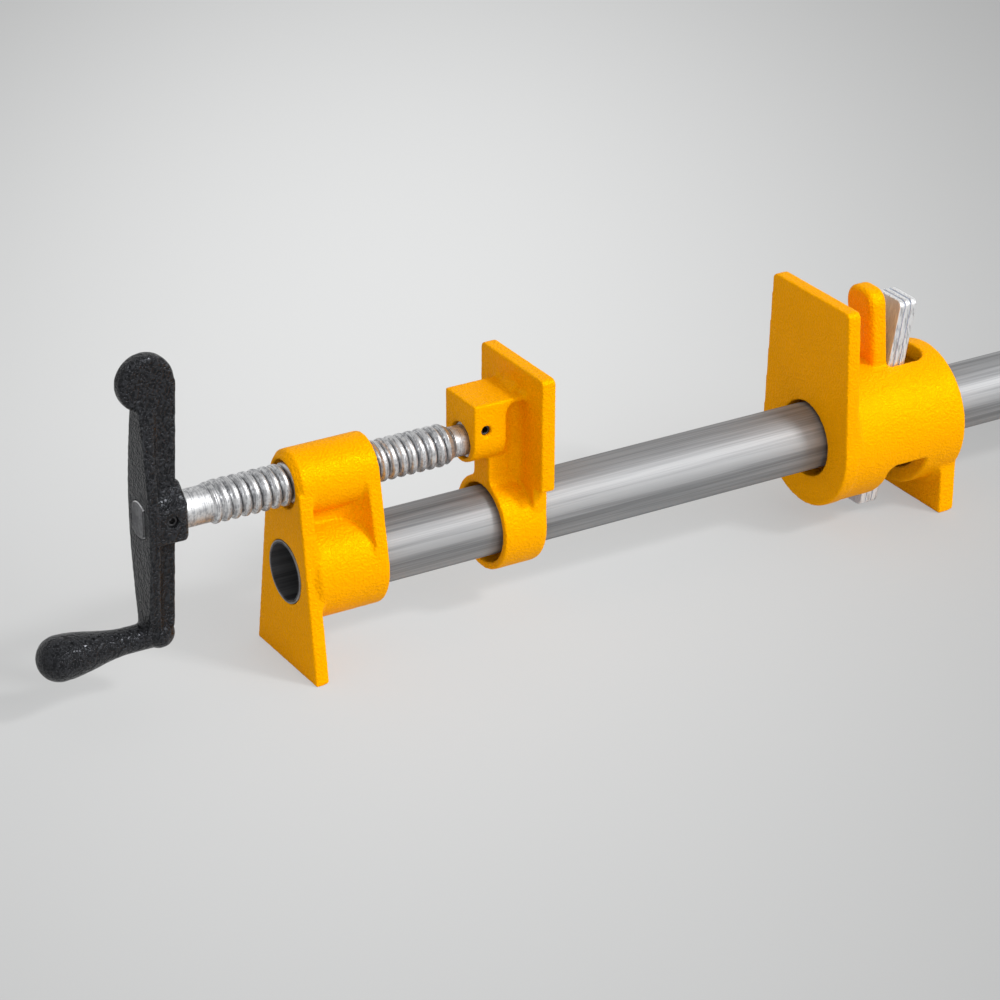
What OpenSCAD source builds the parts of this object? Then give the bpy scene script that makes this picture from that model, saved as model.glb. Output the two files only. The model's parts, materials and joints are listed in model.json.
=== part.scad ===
// Woodworking clamp that runs on a length of steel pipe, laid along X.
// The head and its crank are at the low X end, the tail stop rides at the far end.
// Origin: centre of the head foot's sole. +X runs along the pipe, +Z is up. Millimetres.

/* [Pipe] */
// Outside diameter of the pipe
pipe_od = 26.9; // [24:0.1:28]
// Wall of the pipe
pipe_wall = 2.65; // [2:0.05:3.2]
// Length of the pipe from the head's front face
pipe_len = 500; // [480:5:1200]
// Height of the pipe's axis above the soles of both feet
axis_h = 37.2; // [34:0.1:50]
// Step on the radius from the pipe's outside to its bare end that shows in the head
nose_step = 1.4; // [1:0.05:1.8]
// Step on the radius from the pipe's outside to its thread, drawn plain
thread_step = 0.25; // [0.15:0.05:0.6]
// Bevel at the free end of the pipe
pipe_bevel = 0.8; // [0.3:0.1:1.5]

/* [Spindle] */
// Height of the spindle's axis above the pipe's axis
spindle_h = 35.5; // [34:0.1:46]
// Outside diameter of the spindle's thread, drawn plain
spindle_d = 16; // [14:0.1:17]
// Travel of the spindle for one turn
spindle_pitch = 4; // [3:0.5:5]
// Diameter of the bare shank beside the crank
shank_d = 14; // [12.5:0.1:14]
// Length of bare shank between the crank's boss and the thread
shank_show = 9.5; // [4:0.5:14]
// Width across the two flats of the spindle's end in the crank
tenon_flats = 8.4; // [7:0.1:10]
// Diameter of the bare neck in front of the sliding jaw
neck_d = 11.6; // [10:0.1:12.5]
// Length of bare neck in front of the sliding jaw
neck_show = 4.5; // [3:0.5:8]
// Diameter of the spindle's end inside the sliding jaw
end_d = 13.4; // [12.8:0.1:13.6]
// Diameter of the groove that the sliding jaw's pin runs in
groove_d = 8.6; // [8:0.1:9]

/* [Head] */
// Length of the head along the pipe
head_len = 33.5; // [30:0.5:50]
// Thickness of the head's front plate and foot
head_plate_t = 5.5; // [4:0.1:7]
// Thickness of the head's rear wall
head_wall_t = 5.2; // [3.5:0.1:6]
// Width of the head's foot at its sole
head_foot_w = 46.6; // [42:0.2:60]
// Diameter of the boss round the spindle
spindle_boss_d = 25.2; // [23.5:0.1:28]
// Diameter of the boss round the pipe
pipe_boss_d = 38.8; // [35:0.1:42]
// Thickness of the web between the two bosses
head_web_t = 9; // [6:0.5:14]
// Radius of the hollow corners of the castings
cast_fillet = 4; // [2:0.5:5]

/* [Crank] */
// Distance from the crank's boss to the head's front face at rest
crank_gap = 41; // [30:1:60]
// Depth of the crank's boss from the front of its flange
crank_boss_len = 16; // [13:0.5:19]
// Half width of the crank's flange at the spindle
flange_half = 9; // [8.6:0.1:11]
// Thickness of the crank's flange
flange_t = 4; // [3:0.5:5]
// Thickness of the crank's web and of the knob, which are flush
web_t = 6.6; // [5:0.2:7]
// Height of the knob's centre above the spindle's axis
knob_up = 52.1; // [46:0.1:60]
// Diameter of the knob
knob_d = 21.6; // [18:0.1:23]
// Drop of the grip's axis below the spindle's axis
grip_down = 46.4; // [40:0.1:60]
// Diameter of the grip where it leaves the arm
grip_d0 = 9.8; // [9:0.1:11]
// Diameter of the grip's round end
grip_d1 = 17; // [14:0.1:20]
// Length of the grip from the flange's front to the centre of its round end
grip_len = 33.2; // [28:0.1:60]

/* [Sliding jaw] */
// Distance from the head's rear wall to the sliding jaw's block at rest
jaw_back = 40.5; // [20:0.5:60]
// Length of the sliding jaw's block along the spindle
block_len = 22; // [19:0.5:26]
// Width of the sliding jaw's block
block_w = 21.6; // [19.6:0.1:24]
// Height of the block's top above the spindle's axis
block_up = 17.3; // [14:0.1:20]
// Thickness of the sliding jaw's plate
jaw_plate_t = 6; // [5:0.1:8]
// Width of the sliding jaw's plate
jaw_w = 44.4; // [42:0.2:48]
// Height of the sliding jaw's top edge above the pipe's axis
jaw_top = 62.4; // [56:0.2:70]
// Height of the lower edge of the sliding jaw's wide part above the pipe's axis
jaw_low = 17.1; // [15:0.1:19]
// Play on the radius between the pipe and the sliding jaw's ring
ring_play = 2.05; // [1.2:0.05:2.2]
// Wall of the sliding jaw's ring
ring_wall = 2.9; // [2.4:0.1:4]
// Length of the sliding jaw's ring along the pipe
ring_len = 18.9; // [14:0.1:22]

/* [Tail stop] */
// Opening between the two jaw faces at rest
jaw_opening = 129.3; // [110:0.1:180]
// Thickness of the tail stop's jaw plate
tail_plate_t = 6; // [5:0.1:8]
// Height of the tail stop's top edge above the pipe's axis
tail_top = 60.9; // [56:0.1:70]
// Width of the tail stop's jaw plate at its top edge
tail_top_w = 51; // [44:0.2:54]
// Diameter of the tail stop's round body
body_d = 56; // [54:0.2:60]
// Reach of the jaw plate's round lower end beyond the body
plate_rim = 0.4; // [0.2:0.1:3]
// Length of the tail stop along the pipe
tail_len = 58.8; // [57:0.2:64]
// Thickness of the tail stop's foot plate
foot_t = 7.5; // [6:0.1:9]
// Width of the tail stop's foot
foot_w = 46; // [42:0.2:52]
// Play on the radius between the pipe and the hole in the tail stop's jaw plate
tail_play = 1.95; // [0.7:0.05:2.1]
// Distance from the tail stop's jaw face to the front of its cut-away
cut_from = 23; // [20:0.1:24]
// Length of the cut-away along the pipe
cut_len = 18; // [16:0.1:19]
// Depth below the pipe's axis at which the cut-away starts
cut_low = 8.4; // [6:0.1:12]
// Height of the thumb tab's top above the pipe's axis
tab_top = 58.6; // [52:0.1:66]
// Thickness of the thumb tab along the pipe, near its top
tab_t = 8; // [7:0.1:9.4]

/* [Clutch] */
// Distance from the tail stop's jaw face to the edge that the clutch plates bear on
fulcrum_x = 33.4; // [32.6:0.1:33.8]
// Lean of the clutch plates while they grip, in degrees
clutch_lean = 10.1; // [9:0.1:10.4]
// Thickness of one clutch plate
clutch_t = 2.5; // [2.2:0.1:2.8]
// Width of a clutch plate's tongues
tongue_w = 16.8; // [14:0.1:17]
// Width of a clutch plate round the pipe
clutch_w = 38.6; // [37:0.1:39.4]
// Reach of a clutch plate above the pipe's axis
clutch_up = 52; // [48:0.1:62]
// Reach of a clutch plate below the pipe's axis
clutch_down = 33; // [30:0.5:35]
// Play on the radius between the pipe and the hole in a clutch plate
clutch_play = 0.65; // [0.6:0.05:0.85]
// Wire of the clutch spring
wire_d = 1.6; // [1.2:0.1:1.8]
// Gap between the pipe and the inside of the clutch spring
coil_play = 2.25; // [1.5:0.05:3.4]
// Number of turns in the clutch spring
coil_turns = 3; // [2:1:3]

/* [Fits] */
// Running gap on the radius, between the spindle and the head's thread
run_gap = 0.15; // [0.05:0.05:0.2]
// Gap on the radius between fixed pieces
seat_gap = 0.05; // [0.02:0.01:0.1]
// Gap between pieces that move past each other
move_gap = 0.3; // [0.3:0.05:0.4]
// Gap on each side between a clutch plate's tongue and its slot
slot_play = 0.8; // [0.4:0.1:1.4]
// Gap on the radius between the clutch plates and the chamber round them
chamber_play = 2.2; // [1.4:0.1:2.6]
// Diameter of the two cross pins
pin_d = 4; // [3:0.1:4.2]

/* [Hidden] */
$fn = 96;
yellow = [0.98, 0.70, 0.02];
black = [0.09, 0.09, 0.10];
steel = [0.70, 0.71, 0.73];
zinc = [0.80, 0.82, 0.84];
hull_fn = 32;
// overrun of every cut
over = 1;
// stations along X
head_x = -head_plate_t / 2;
head_x1 = head_x + head_len;
block_x = head_x1 + jaw_back;
jaw_x = block_x + block_len;
jaw_face = jaw_x + jaw_plate_t;
tail_x = jaw_face + jaw_opening;
tail_x1 = tail_x + tail_len;
flange_x = head_x - crank_gap - crank_boss_len;
boss_x1 = flange_x + crank_boss_len;
spindle_z = axis_h + spindle_h;
// bores and outsides that follow the pipe and the clutch plates
pipe_nose_d = pipe_od - 2 * nose_step;
pipe_thread_d = pipe_od - 2 * thread_step;
ring_bore = pipe_od + 2 * ring_play;
ring_d = ring_bore + 2 * ring_wall;
tail_hole = pipe_od + 2 * tail_play;
tail_plate_d = body_d + 2 * plate_rim;
chamber_d = clutch_w + 2 * chamber_play;
slot_w = tongue_w + 2 * slot_play;
clutch_hole = pipe_od + 2 * clutch_play;
coil_d = pipe_od + 2 * coil_play + wire_d;
// fixed small sizes of the head
nose_len = 3;
mouth_len = 4.2;
mouth_gap = 0.2;
head_flare = 12;
boss_lead = 1.8;
counterbore_step = 1.1;
counterbore_deep = 2.5;
foot_round = 1.8;
bore_bevel = 0.9;
arch_bevel = 2.4;
// small sizes of the spindle and its pins
tenon_proud = 0.6;
tenon_bevel = 0.4;
groove_gap = 0.3;
pin_in = 5.2;
pin_short = 1.4;
pin_wall = 0.8;
pin_slit = 0.7;
end_in = 1.6;
// small sizes of the crank
knob_round = 2.2;
flange_top_half = 3.1;
flange_fillet = 4.5;
flange_low_half = 4.3;
web_deep_top = 15.1;
web_deep_low = 11;
elbow_d = 11.6;
elbow_cut = 3;
boss_half = 8.5;
boss_low = 8.7;
boss_round = 2;
boss_top = 13;
boss_top_round = 3;
boss_shoulder = 5;
boss_bevel = 1.5;
scoop_r = 10;
boss_fillet = 3;
elbow_fillet = 2;
// small sizes of the sliding jaw
jaw_corner = 2;
shoulder_w = 33.6;
ring_round = 2.6;
ring_drop = 0.7;
jaw_neck_half = 5.6;
jaw_neck_foot = 4;
jaw_pocket = 8.2;
jaw_shelf = 2;
jaw_rib_half = 4.5;
block_lift = 2.4;
socket_len = 12.2;
jaw_bore_gap = 0.3;
// small sizes of the tail stop
tail_corner = 2.6;
hole_drop = 0.8;
body_round = 1.6;
rear_wall = 6;
tail_guide_gap = 0.35;
cut_round = 4;
slot_wall = 7.4;
slot_round = 5;
tab_half = 8.6;
tab_low_t = 6.8;
tab_round = 1.8;
tab_arch = 6.6;
tab_edge = 1.4;
tab_back_lean = 1.8;
fulcrum_sunk = 1;
slot_end = tail_len - slot_wall;
pocket_x = jaw_x - jaw_pocket;
tab_root = body_d / 2 - cast_fillet;
fulcrum_z = body_d / 2 - fulcrum_sunk;
// small sizes of the clutch
stack_gap = 0.25;
tongue_round = 2.6;
coil_clear = 2.6;
coil_rings = 8;
coil_sides = 6;

function unit(v) = v / norm(v);

// a flat outline in Y and Z, made thick along +X from station x
module slab_x(x, t) { translate([x, 0, 0]) rotate([90, 0, 90]) linear_extrude(height = t) children(); }
// a flat outline in X and Z, made thick along Y about y = 0
module slab_y(t) { translate([0, t / 2, 0]) rotate([90, 0, 0]) linear_extrude(height = t) children(); }
// a round bar along X
module rod_x(x, z, d, l) { translate([x, 0, z]) rotate([0, 90, 0]) cylinder(d = d, h = l); }
// a bevelled bar along X
module cone_x(x, z, da, db, l) {
    translate([x, 0, z]) rotate([0, 90, 0]) cylinder(d1 = da, d2 = db, h = l);
}
// a round bar along Y, its middle on y = 0
module rod_y(x, z, d, l) { translate([x, l / 2, z]) rotate([90, 0, 0]) cylinder(d = d, h = l); }
// outline of a profile given as radius and station, turned about an X axis at height z
module turn_x(x, z) { translate([x, 0, z]) rotate([0, 90, 0]) rotate_extrude() children(); }
// hollow corner between a round boss and the wall it stands on, with its wall on +X when s = 1
module cove_x(x, z, d, r, s) {
    translate([x, 0, z]) rotate([0, 90, 0]) rotate_extrude()
        difference() {
            translate([d / 2 - r / 2, s > 0 ? -r : 0]) square([r + r / 2, r]);
            translate([d / 2 + r, s > 0 ? -r : r]) circle(r = r);
        }
}
// tangent outline of two circles on one vertical line, each flank a straight line
module two_circles(za, da, zb, db) {
    s = (da - db) / 2 / (zb - za);
    c = sqrt(1 - s * s);
    translate([0, za]) circle(d = da);
    translate([0, zb]) circle(d = db);
    polygon([[da / 2 * c, za + da / 2 * s], [db / 2 * c, zb + db / 2 * s],
             [-db / 2 * c, zb + db / 2 * s], [-da / 2 * c, za + da / 2 * s]]);
}
// outline with two rounded upper corners, from z0 to z1, w0 wide below and w1 wide above
module rounded_top(z0, z1, w0, w1, r) {
    polygon([[-w0 / 2, z0], [w0 / 2, z0], [w1 / 2, z1 - r], [w1 / 2 - r, z1 - r],
             [w1 / 2 - r, z1], [r - w1 / 2, z1], [r - w1 / 2, z1 - r], [-w1 / 2, z1 - r]]);
    for (i = [-1, 1]) translate([i * (w1 / 2 - r), z1 - r]) circle(r = r);
}

// plan of a web along X from x0 to the wall at x1, with hollow corners of radius r at the wall
module web_plan(x0, x1, half, r) {
    difference() {
        translate([x0, -half - r]) square([x1 + over - x0, 2 * half + 2 * r]);
        for (i = [-1, 1]) {
            translate([x1 - r, i * (half + r)]) circle(r = r);
            translate([x0 - over, i > 0 ? half : -half - 2 * r]) square([x1 - r - x0 + over, 2 * r]);
        }
    }
}
// what is cut off to round the lower rear edge of a foot that ends at station x
module foot_edge(x, w) {
    slab_y(w + 2 * over) difference() {
        translate([x - foot_round, -over]) square([foot_round + over, foot_round + over]);
        translate([x - foot_round, foot_round]) circle(r = foot_round);
    }
}

// ---- head ----
// front plate: an arch round the spindle that spreads down to the foot
module head_front_outline() {
    w = head_foot_w / 2;
    r = spindle_boss_d / 2;
    translate([0, spindle_z]) circle(r = r);
    polygon([[-w, 0], [w, 0], [r, spindle_z], [-r, spindle_z]]);
}
module head_casting() color(yellow) difference() {
    union() {
        slab_x(head_x + arch_bevel, head_plate_t - arch_bevel) head_front_outline();
        slab_x(head_x, arch_bevel) polygon([[-head_foot_w / 2, 0], [head_foot_w / 2, 0],
            [spindle_boss_d / 2, spindle_z], [-spindle_boss_d / 2, spindle_z]]);
        cone_x(head_x, spindle_z, spindle_boss_d - 2 * arch_bevel, spindle_boss_d, arch_bevel);
        rod_x(head_x + arch_bevel, spindle_z, spindle_boss_d, head_len - arch_bevel);
        cone_x(head_x + head_plate_t / 2, axis_h, pipe_boss_d - 2 * boss_lead, pipe_boss_d,
            head_plate_t / 2);
        rod_x(head_x + head_plate_t, axis_h, pipe_boss_d, head_len - head_plate_t);
        slab_x(head_x1 - head_wall_t, head_wall_t)
            two_circles(axis_h, pipe_boss_d, spindle_z, spindle_boss_d);
        // web between the bosses, spreading into the rear wall and a little into the front plate
        intersection() {
            translate([0, 0, axis_h]) linear_extrude(height = spindle_h) union() {
                web_plan(head_x + head_plate_t / 2, head_x1 - head_wall_t, head_web_t / 2, head_flare);
                mirror([1, 0, 0]) web_plan(-head_x1 + head_wall_t, -head_x - head_plate_t,
                    head_web_t / 2, cast_fillet / 2);
            }
            slab_x(head_x, head_len) two_circles(axis_h, pipe_boss_d, spindle_z, spindle_boss_d);
        }
        // hollow corners where the bosses meet the front plate
        intersection() {
            union() {
                cove_x(head_x + head_plate_t, axis_h, pipe_boss_d, cast_fillet / 2, -1);
                cove_x(head_x + head_plate_t, spindle_z, spindle_boss_d, cast_fillet / 2, -1);
            }
            slab_x(head_x, head_len) head_front_outline();
        }
    }
    foot_edge(head_x + head_plate_t, head_foot_w);
    // nut bore for the spindle, with a counterbore in front and a bevel behind
    rod_x(head_x - over, spindle_z, spindle_d + 2 * run_gap, head_len + 2 * over);
    rod_x(head_x - over, spindle_z, spindle_d + 2 * counterbore_step, counterbore_deep + over);
    cone_x(head_x1 - bore_bevel, spindle_z, spindle_d + 2 * run_gap,
        spindle_d + 2 * run_gap + 2 * bore_bevel + 2 * over, bore_bevel + over);
    // stepped bore for the pipe: its bare nose, its thread and its mouth
    rod_x(head_x - over, axis_h, pipe_nose_d + 2 * seat_gap, head_len);
    rod_x(head_x + nose_len, axis_h, pipe_thread_d + 2 * seat_gap, head_len);
    rod_x(head_x1 - mouth_len, axis_h, pipe_od + 2 * mouth_gap, mouth_len + over);
}

// ---- pipe ----
module pipe() color(steel) difference() {
    union() {
        rod_x(head_x, axis_h, pipe_nose_d, nose_len + over);
        rod_x(head_x + nose_len, axis_h, pipe_thread_d, head_len - nose_len);
        rod_x(head_x1 - mouth_len, axis_h, pipe_od, pipe_len - head_len + mouth_len - pipe_bevel);
        cone_x(head_x + pipe_len - pipe_bevel, axis_h, pipe_od, pipe_od - 2 * pipe_bevel, pipe_bevel);
    }
    rod_x(head_x - over, axis_h, pipe_od - 2 * pipe_wall, pipe_len + 2 * over);
}

// ---- spindle ----
module spindle() color(zinc) difference() {
    union() {
        // flattened end in the crank
        intersection() {
            rod_x(flange_x - tenon_proud, spindle_z, shank_d, crank_boss_len);
            translate([flange_x - over, -tenon_flats / 2, spindle_z - shank_d])
                cube([crank_boss_len + over, tenon_flats, 2 * shank_d]);
        }
        rod_x(boss_x1 - flange_t, spindle_z, shank_d, flange_t + shank_show);
        cone_x(boss_x1 + shank_show - bore_bevel, spindle_z, shank_d, spindle_d, bore_bevel);
        rod_x(boss_x1 + shank_show, spindle_z, spindle_d,
            block_x - neck_show - boss_x1 - shank_show - bore_bevel);
        cone_x(block_x - neck_show - bore_bevel, spindle_z, spindle_d, neck_d, bore_bevel);
        rod_x(block_x - neck_show - over / 2, spindle_z, neck_d, neck_show + end_in + over);
        rod_x(block_x + end_in, spindle_z, end_d, socket_len - move_gap - end_in);
    }
    // groove for the sliding jaw's pin
    difference() {
        rod_x(block_x + pin_in - pin_d / 2 - groove_gap, spindle_z, end_d + over,
            pin_d + 2 * groove_gap);
        rod_x(block_x + pin_in - pin_d, spindle_z, groove_d, 2 * pin_d);
    }
    // cross hole for the crank's pin
    rod_y(flange_x + crank_boss_len * 3 / 5, spindle_z, pin_d + 2 * seat_gap, shank_d + over);
}

// ---- crank ----
function flange_half_at(z) = z > 0
    ? flange_top_half + (flange_half - flange_top_half) * cos(90 * z / (knob_up - knob_d / 4))
    : flange_low_half + (flange_half - flange_low_half) * cos(90 * z / grip_down);
flange_steps = 12;
flange_rise = [for (i = [-flange_steps:flange_steps])
    i < 0 ? i / flange_steps * grip_down : i / flange_steps * (knob_up - knob_d / 4)];
module flange_outline() polygon([for (z = flange_rise) [flange_half_at(z), z],
    for (i = [len(flange_rise) - 1:-1:0]) [-flange_half_at(flange_rise[i]), flange_rise[i]]]);
grip_steps = 12;
// radius of the grip at distance s in front of the flange
function grip_r(s) = let (a = grip_len / 5, t = max(0, min(1, (s - a) / (grip_len - a))))
    grip_d0 / 2 + (grip_d1 - grip_d0) / 2 * (1 - cos(180 * t)) / 2;
grip_profile = concat([[0, -elbow_d / 2], [grip_d0 / 2, -elbow_d / 2]],
    [for (i = [0:grip_steps]) let (s = i / grip_steps * grip_len) [grip_r(s), s]],
    [for (i = [1:grip_steps - 1]) let (a = 90 * i / grip_steps)
        [grip_d1 / 2 * cos(a), grip_len + grip_d1 / 2 * sin(a)]],
    [[0, grip_len + grip_d1 / 2]]);
knob_profile = concat([[0, -web_t / 2]],
    [for (i = [0:5]) let (a = 90 * i / 5)
        [knob_d / 2 - knob_round + knob_round * sin(a), -web_t / 2 + knob_round - knob_round * cos(a)]],
    [for (i = [0:5]) let (a = 90 * i / 5)
        [knob_d / 2 - knob_round + knob_round * cos(a), web_t / 2 - knob_round + knob_round * sin(a)]],
    [[0, web_t / 2]]);
// side of the web, from the elbow to the knob
module web_outline() polygon([[0, -grip_down], [web_deep_low - elbow_cut, -grip_down],
    [web_deep_low, elbow_cut - grip_down], [web_deep_top, knob_up],
    [0, knob_up - knob_d / 4]]);
// hollow corners of radius r between a wall h away from the middle line and a wall at u
module two_corners(h, u, r) {
    for (i = [-1, 1]) difference() {
        translate([i > 0 ? 0 : -h - r, u - r]) square([h + r, r + over]);
        translate([i * (h + r), u - r]) circle(r = r);
    }
}
module crank_boss_section(in) {
    hull() {
        for (i = [-1, 1]) {
            translate([i * (boss_half - boss_round), boss_round - boss_low])
                circle(r = boss_round - in, $fn = hull_fn);
            translate([i * (boss_half - boss_round), boss_shoulder])
                circle(r = boss_round - in, $fn = hull_fn);
        }
        translate([0, boss_top - boss_top_round]) circle(r = boss_top_round - in, $fn = hull_fn);
    }
}
// height of the middle of the scoops, which start at the boss's upper corners
scoop_z = boss_shoulder + sqrt(pow(scoop_r, 2) - pow(web_t / 2 + scoop_r - boss_half, 2));
module crank() color(black) difference() {
    translate([flange_x, 0, spindle_z]) union() {
        slab_x(0, flange_t) flange_outline();
        // hollow corners between the flange and the web, no wider than the flange
        intersection() {
            slab_x(0, flange_t + flange_fillet) flange_outline();
            translate([0, 0, -grip_down]) linear_extrude(height = grip_down + knob_up)
                rotate(90) two_corners(web_t / 2, -flange_t, flange_fillet);
        }
        slab_y(web_t) web_outline();
        translate([web_deep_top - knob_d / 2, 0, knob_up]) rotate([90, 0, 0])
            rotate_extrude() polygon(knob_profile);
        // boss round the spindle, its upper sides scooped
        difference() {
            hull() {
                slab_x(flange_t / 2, crank_boss_len - boss_bevel - flange_t / 2) crank_boss_section(0);
                slab_x(flange_t, crank_boss_len - flange_t) crank_boss_section(boss_bevel);
            }
            for (i = [-1, 1]) translate([0, i * (web_t / 2 + scoop_r), 0])
                rod_x(flange_t / 2 - over, scoop_z, 2 * scoop_r, crank_boss_len + over);
        }
        intersection() {
            slab_x(0, crank_boss_len) two_corners(web_t / 2, -boss_low, boss_fillet);
            slab_y(2 * boss_half) web_outline();
        }
        translate([0, 0, -grip_down]) rotate([0, -90, 0]) rotate_extrude() polygon(grip_profile);
        translate([elbow_d / 2 - seat_gap, 0, -grip_down]) sphere(d = elbow_d);
        intersection() {
            cove_x(0, -grip_down, grip_d0, elbow_fillet, 1);
            slab_x(-2 * elbow_fillet, 3 * elbow_fillet) flange_outline();
        }
    }
    // bore for the spindle's flattened end, then for its shank
    intersection() {
        rod_x(flange_x - over, spindle_z, shank_d + 2 * seat_gap, crank_boss_len + 2 * over);
        translate([flange_x - 2 * over, -tenon_flats / 2 - seat_gap, spindle_z - shank_d])
            cube([crank_boss_len + 4 * over, tenon_flats + 2 * seat_gap, 2 * shank_d]);
    }
    rod_x(boss_x1 - flange_t - seat_gap, spindle_z, shank_d + 2 * seat_gap, flange_t + over);
    rod_y(flange_x + crank_boss_len * 3 / 5, spindle_z, pin_d + 2 * seat_gap, 4 * boss_half);
}
// rolled spring pin along Y, slit along its upper side
module roll_pin(x, z, l) color(zinc) difference() {
    rod_y(x, z, pin_d, l);
    rod_y(x, z, pin_d - 2 * pin_wall, l + over);
    translate([x - pin_slit / 2, -l / 2 - over, z]) cube([pin_slit, l + 2 * over, pin_d]);
}
module crank_pin()
    roll_pin(flange_x + crank_boss_len * 3 / 5, spindle_z, 2 * boss_half - 2 * pin_short);

// ---- sliding jaw ----
module block_outline() {
    translate([0, spindle_z + block_lift]) circle(d = block_w);
    translate([-block_w / 2, spindle_z + block_lift]) square([block_w, block_up - block_lift]);
}
module sliding_jaw() color(yellow) difference() {
    union() {
        slab_x(jaw_x, jaw_plate_t)
            rounded_top(axis_h + jaw_low, axis_h + jaw_top, jaw_w, jaw_w, jaw_corner);
        slab_x(jaw_x, jaw_plate_t) translate([-shoulder_w / 2, axis_h])
            square([shoulder_w, jaw_low + over]);
        slab_x(block_x, block_len - jaw_pocket) block_outline();
        // shelf over the two pockets, with a hollow corner behind the block
        translate([block_x + over, -block_w / 2, spindle_z + block_up - jaw_shelf])
            cube([block_len, block_w, jaw_shelf]);
        slab_y(block_w) difference() {
            translate([pocket_x - over, spindle_z + block_up - jaw_shelf - cast_fillet])
                square([cast_fillet + over, cast_fillet + jaw_shelf / 2]);
            translate([pocket_x + cast_fillet, spindle_z + block_up - jaw_shelf - cast_fillet])
                circle(r = cast_fillet);
        }
        // ring round the pipe, its far rim rounded below
        turn_x(jaw_face - ring_len, axis_h - ring_drop) difference() {
            union() {
                square([ring_d / 2, ring_len - ring_round]);
                square([ring_d / 2 - ring_round, ring_len]);
                translate([ring_d / 2 - ring_round, ring_len - ring_round]) circle(r = ring_round);
            }
        }
        // neck between the block and the ring, spreading into the plate and on to the ring
        translate([0, 0, axis_h - ring_drop])
            linear_extrude(height = ring_drop + spindle_h + block_up - jaw_shelf / 2)
                web_plan(jaw_face - ring_len, jaw_x, jaw_neck_half, jaw_pocket / 2);
        slab_x(jaw_face - ring_len, ring_len - jaw_plate_t) neck_foot_outline();
        // the neck spreads into the block's rear as well
        intersection() {
            translate([0, 0, axis_h]) linear_extrude(height = spindle_h + block_up - jaw_shelf / 2)
                mirror([1, 0, 0]) web_plan(-jaw_x, -pocket_x, jaw_neck_half, jaw_pocket / 2);
            slab_x(block_x + over, block_len) block_outline();
        }
        // hollow corner between the block's top and the plate, deeper in the middle
        top_corner(block_w, cast_fillet / 2);
        top_corner(2 * jaw_rib_half, cast_fillet);
    }
    rod_x(jaw_face - ring_len - over, axis_h - ring_drop, ring_bore, ring_len + 2 * over);
    // blind socket for the spindle's end
    rod_x(block_x - over, spindle_z, end_d + 2 * jaw_bore_gap, socket_len + over);
    rod_y(block_x + pin_in, spindle_z + pin_rise, pin_d + 2 * seat_gap, block_w + 2 * over);
}
// hollow corner of radius r and width w where the block's top meets the plate
module top_corner(w, r) {
    slab_y(w) difference() {
        translate([jaw_x - r, spindle_z + block_up - over]) square([r + over, r + over]);
        translate([jaw_x - r, spindle_z + block_up + r]) circle(r = r);
    }
}
// height of the jaw pin above the spindle's axis, so that it lies in the groove
pin_rise = groove_d / 2 + pin_d / 2 + groove_gap;
// hollow corners between the ring and the neck's two sides
module neck_foot_outline() {
    q = ring_d / 2 + jaw_neck_foot;
    y = jaw_neck_half + jaw_neck_foot;
    z = sqrt(q * q - y * y);
    k = ring_d / 2 / q;
    translate([0, axis_h - ring_drop]) for (i = [-1, 1]) difference() {
        polygon([[0, 0], [i * y * k, z * k], [i * y, z], [0, z]]);
        translate([i * y, z]) circle(r = jaw_neck_foot);
    }
}
module jaw_pin() roll_pin(block_x + pin_in, spindle_z + pin_rise, block_w - 2 * pin_short);

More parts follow.
